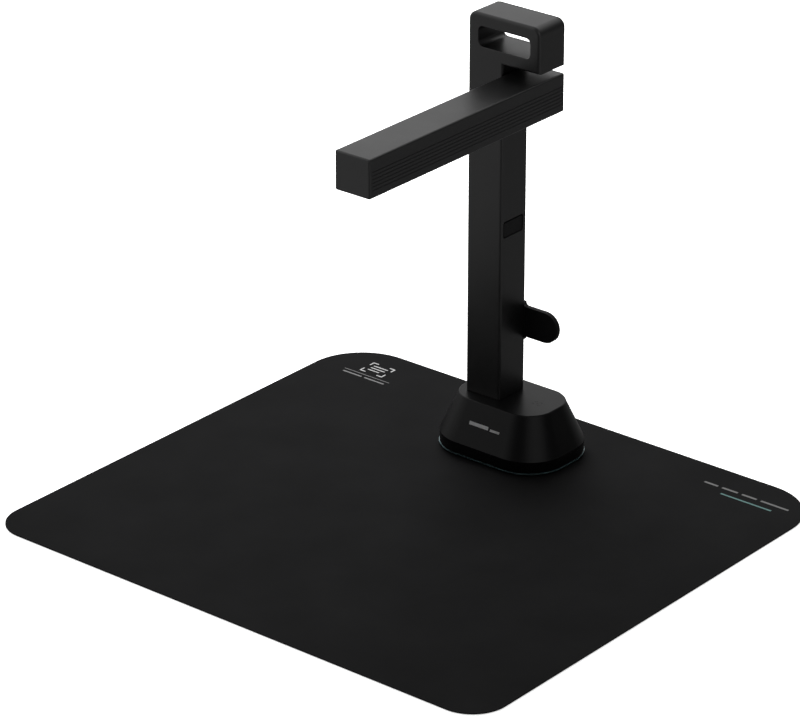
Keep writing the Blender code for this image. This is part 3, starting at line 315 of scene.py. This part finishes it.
LOOKS = {                            # by material slot
    "housing": moulded_plastic(),
    "gloss_black": polished_plastic(),
    "mat": mat_sheet(),
    "trim": trim_plastic(),
    "rubber": rubber(),
    "steel": streaked_metal("rolled_steel", (0.62, 0.63, 0.65), (0.4, 0.41, 0.43), (14, 1, 1)),
    "cast_iron": cast_iron(),
    "circuit_board": circuit_board(),
    "brass": streaked_metal("turned_brass", (0.72, 0.5, 0.2), (0.5, 0.33, 0.11), (1, 12, 12)),
    "opal": opal(),
    "lens_glass": coated_glass(),
    "cable": cable_jacket(),
}
OWN_LOOKS = {                        # nodes whose grain differs from that of their slot
    "base_shell": moulded_plastic("dull_black_shell", 0.12, 0.3, 0.38),
    "side_insert": moulded_plastic("soft_black_insert", 0.15, 0.45, 0.55),
}


def shade_smooth(mesh):
    """Sets each corner's normal to the mean of the faces that meet there at small angles, by area."""
    places = np.empty(len(mesh.vertices) * 3)
    mesh.vertices.foreach_get("co", places)
    keys = np.round(places.reshape(-1, 3) / SAME_PLACE).astype(np.int64)
    around = {}
    for face in mesh.polygons:
        for vertex in face.vertices:
            around.setdefault(tuple(keys[vertex]), []).append(face.index)
    normals = np.array([face.normal for face in mesh.polygons])
    areas = np.array([face.area for face in mesh.polygons])
    limit = math.cos(SMOOTH_BELOW)
    result = np.zeros((len(mesh.loops), 3))
    for face in mesh.polygons:
        for loop, vertex in zip(face.loop_indices, face.vertices):
            faces = around[tuple(keys[vertex])]
            near = normals[faces] @ normals[face.index] > limit
            total = (normals[faces] * (areas[faces] * near)[:, None]).sum(0)
            result[loop] = total / np.linalg.norm(total)
    mesh.shade_smooth()
    mesh.normals_split_custom_set(result)


def dress(node, look):
    """Gives a CAD node its finish, and smooth shading over its fine facets."""
    shade_smooth(NODES[node].data)
    for slot in NODES[node].material_slots:
        slot.material = look


def dull_tab():
    """Gives the rear cover's tab, with its pad, a duller grain than the column's."""
    mesh = NODES["rear_cover"].data
    mesh.materials.append(moulded_plastic("dull_black_tab", 0.1, 0.55, 0.65))
    pad_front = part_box("rear_cover")[1].y - TAB_DEEP
    for face in mesh.polygons:
        beside = face.center.x > TAB_FROM
        behind = face.center.y > pad_front
        if face.center.z < TAB_BELOW and (beside or behind):
            face.material_index = 1


for entry in frame["record"]["subparts"]:
    dress(entry["node"], OWN_LOOKS.get(entry["node"], LOOKS[entry["material_slot"]]))
dull_tab()


# ---------------------------------------------------------------- printed marks

def ink(name, colour):
    """Screen-printing ink, thinly laid, with a little unevenness."""
    look = Look(name).set(ior=1.45)
    patches = look.noise(1.5 * MM, 4, 0.7)
    look.colour(look.blend(patches, tuple(0.75 * channel for channel in colour), colour))
    look.roughness(look.spread(patches, 0.6, 0.8))
    return look.bump(patches, 0.01 * MM, 0.5).material


def bars_mesh(name, bars):
    """Flat bars (x, y, width, height) in millimetres from their lower left corners, as thin plates."""
    mesh = bpy.data.meshes.new(name)
    bm = bmesh.new()
    for bar in bars:
        x, y, width, height = (size * MM for size in bar)
        middle = Matrix.Translation((x + width / 2, y + height / 2, INK / 2))
        bmesh.ops.create_cube(bm, size=1, matrix=middle @ Matrix.Diagonal((width, height, INK, 1)))
    standing = [edge for edge in bm.edges if abs(edge.verts[0].co.z - edge.verts[1].co.z) > INK / 2]
    bmesh.ops.bevel(bm, geom=standing, offset=BAR_ROUND, segments=3, profile=0.5, affect="EDGES")
    bm.to_mesh(mesh)
    bm.free()
    return mesh


def page_corners(x, y, width, height, reach, thick):
    """The four corner brackets of a page, as bars that meet end to side."""
    bars = []
    for right in (0, 1):
        for top in (0, 1):
            flat_x = x + right * (width - reach)
            flat_y = y + top * (height - thick)
            upright_x = x + right * (width - thick)
            upright_y = y + height - reach if top else y + thick
            bars.append((flat_x, flat_y, reach, thick))
            bars.append((upright_x, upright_y, thick, reach - thick))
    return bars


def print_mark(name, bars, look, place):
    """A printed mark, laid on a face of the stand by a matrix."""
    mesh = bars_mesh(name, bars)
    mesh.transform(place)
    mesh.materials.append(look)
    mark = bpy.data.objects.new(name, mesh)
    bpy.context.scene.collection.objects.link(mark)
    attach(mark, "stand")


def mark_mat():
    """A generic page sign over a rule and bars at the back left, and two lines of bars at the back right."""
    low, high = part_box("scan_mat")
    back_left = Matrix.Translation((low.x + MAT_SIGN_IN[0], high.y - MAT_SIGN_IN[1], high.z))
    text_rows = [(16.5, 17, 12, 1.3), (16.5, 21, 15, 1.3), (16.5, 25, 15, 1.3)]
    print_mark("mat_sign", page_corners(12, 12, 24, 19, 6, 1.3) + text_rows,
               ink("white_ink", (0.5, 0.5, 0.5)), back_left)
    print_mark("mat_rules", [(0, 7, 48, 0.7), (2, 2, 20, 1.6), (25, 2, 21, 1.6)],
               ink("grey_ink", (0.2, 0.2, 0.2)), back_left)
    back_right = Matrix.Translation((high.x - MAT_LINES_IN[0], high.y - MAT_LINES_IN[1], high.z))
    words = [(0, 13), (17, 15), (36, 14), (54, 26)]
    print_mark("mat_line_upper", [(x, 0, width, 2.2) for x, width in words],
               ink("pale_ink", (0.15, 0.15, 0.15)), back_right)
    print_mark("mat_line_lower", [(22, -9, 48, 1.8)], ink("teal_ink", (0.1, 0.2, 0.19)), back_right)


def mark_base():
    """Two bars on the shell's leaning front, and a page sign for the touch key on its top."""
    low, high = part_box("base_plinth")
    middle = (low + high) / 2
    along = Vector((1, 0, 0))
    up_slope = Vector((0, SHELL_LEAN, 1))
    outward = Vector((0, -1, SHELL_LEAN))
    foot = Vector((middle.x - BASE_SIGN_LEFT, low.y, high.z + SHELL_GAP))
    front = Matrix((along, up_slope.normalized(), outward.normalized())).transposed().to_4x4()
    front.translation = foot + up_slope * BASE_SIGN_RISE
    print_mark("base_sign", [(0, 0.9, 19, 2.8), (21, 0.6, 9.4, 1.9)],
               ink("bright_ink", (0.7, 0.7, 0.7)), front)
    shell_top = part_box("base_shell")[1].z
    top = Matrix.Translation((middle.x + TOUCH_SIGN_OFF[0], middle.y + TOUCH_SIGN_OFF[1], shell_top))
    print_mark("touch_sign", page_corners(0, 0, 7, 6, 2, 0.8) + [(2, 2.6, 3, 0.8)],
               ink("matt_black_ink", (0.006, 0.006, 0.006)), top)


mark_mat()
mark_base()


# ---------------------------------------------------------------- stage, light and camera

def make_floor():
    """A plain pale floor that glows a little, and that the object doesn't mirror."""
    mesh = bpy.data.meshes.new("floor")
    bm = bmesh.new()
    bmesh.ops.create_grid(bm, x_segments=8, y_segments=8, size=FLOOR_SIZE / 2)
    bm.to_mesh(mesh)
    bm.free()
    floor = bpy.data.objects.new("floor", mesh)
    floor.location = (0, 0, CAD_BOX[0].z - FLOOR_DROP)
    floor.visible_glossy = False
    bpy.context.scene.collection.objects.link(floor)
    look = Look("pale_floor").set(base_color=(0.92, 0.92, 0.92), roughness=0.9, specular_ior_level=0.0,
                                  emission_color=(1.0, 1.0, 1.0), emission_strength=FLOOR_GLOW)
    mesh.materials.append(look.material)


def make_world():
    """The studio as the object mirrors it: bright behind, softboxes in front, two soft pools below."""
    world = bpy.data.worlds.new("studio")
    bpy.context.scene.world = world
    world.use_nodes = True
    world.cycles_visibility.diffuse = False
    tree = world.node_tree
    where = tree.nodes.new("ShaderNodeTexCoord").outputs["Generated"]

    def node(kind, **settings):
        made = tree.nodes.new(kind)
        for key, value in settings.items():
            setattr(made, key, value)
        return made

    def toward(direction):
        made = node("ShaderNodeVectorMath", operation="DOT_PRODUCT")
        tree.links.new(where, made.inputs[0])
        made.inputs[1].default_value = direction.normalized()
        return made.outputs["Value"]

    def ramp(value, start, end, low, high):
        made = node("ShaderNodeMapRange", interpolation_type="SMOOTHSTEP")
        for key, number in zip(("From Min", "From Max", "To Min", "To Max"), (start, end, low, high)):
            made.inputs[key].default_value = number
        tree.links.new(value, made.inputs["Value"])
        return made.outputs["Result"]

    def add(a, b):
        made = node("ShaderNodeMath", operation="ADD")
        tree.links.new(a, made.inputs[0])
        tree.links.new(b, made.inputs[1])
        return made.outputs["Value"]

    def total(glows):
        return reduce(add, [ramp(toward(direction), *levels) for direction, *levels in glows])

    blend = node("ShaderNodeMix", data_type="FLOAT")
    tree.links.new(ramp(toward(UP), -HORIZON, HORIZON, 0.0, 1.0), blend.inputs["Factor"])
    tree.links.new(total(GLOWS_BELOW), blend.inputs["A"])
    tree.links.new(total(GLOWS_ABOVE), blend.inputs["B"])
    background = tree.nodes["Background"]
    background.inputs["Color"].default_value = (1, 1, 1, 1)
    tree.links.new(blend.outputs["Result"], background.inputs["Strength"])


def make_lamp(name, place, size, power):
    """A square softbox that points at the middle of the mat and that nothing mirrors."""
    data = bpy.data.lights.new(name, "AREA")
    data.shape = "SQUARE"
    data.size = size
    data.energy = power
    lamp = bpy.data.objects.new(name, data)
    lamp.location = place
    lamp.rotation_mode = "QUATERNION"
    lamp.rotation_quaternion = (-Vector(place)).to_track_quat("-Z", "Y")
    lamp.visible_glossy = False
    lamp.visible_camera = False
    bpy.context.scene.collection.objects.link(lamp)


def make_camera():
    """A long lens that looks down over the mat, without roll."""
    data = bpy.data.cameras.new("camera")
    data.lens = CAMERA_LENS
    data.sensor_width = CAMERA_SENSOR
    data.clip_end = 50
    camera = bpy.data.objects.new("camera", data)
    camera.location = CAMERA_PLACE
    camera.rotation_mode = "QUATERNION"
    camera.rotation_quaternion = CAMERA_FORWARD.to_track_quat("-Z", "Y")
    bpy.context.scene.collection.objects.link(camera)
    bpy.context.scene.camera = camera


make_floor()
make_world()
for lamp in LAMPS:
    make_lamp(*lamp)
make_camera()
bpy.context.scene.view_settings.view_transform = "Standard"
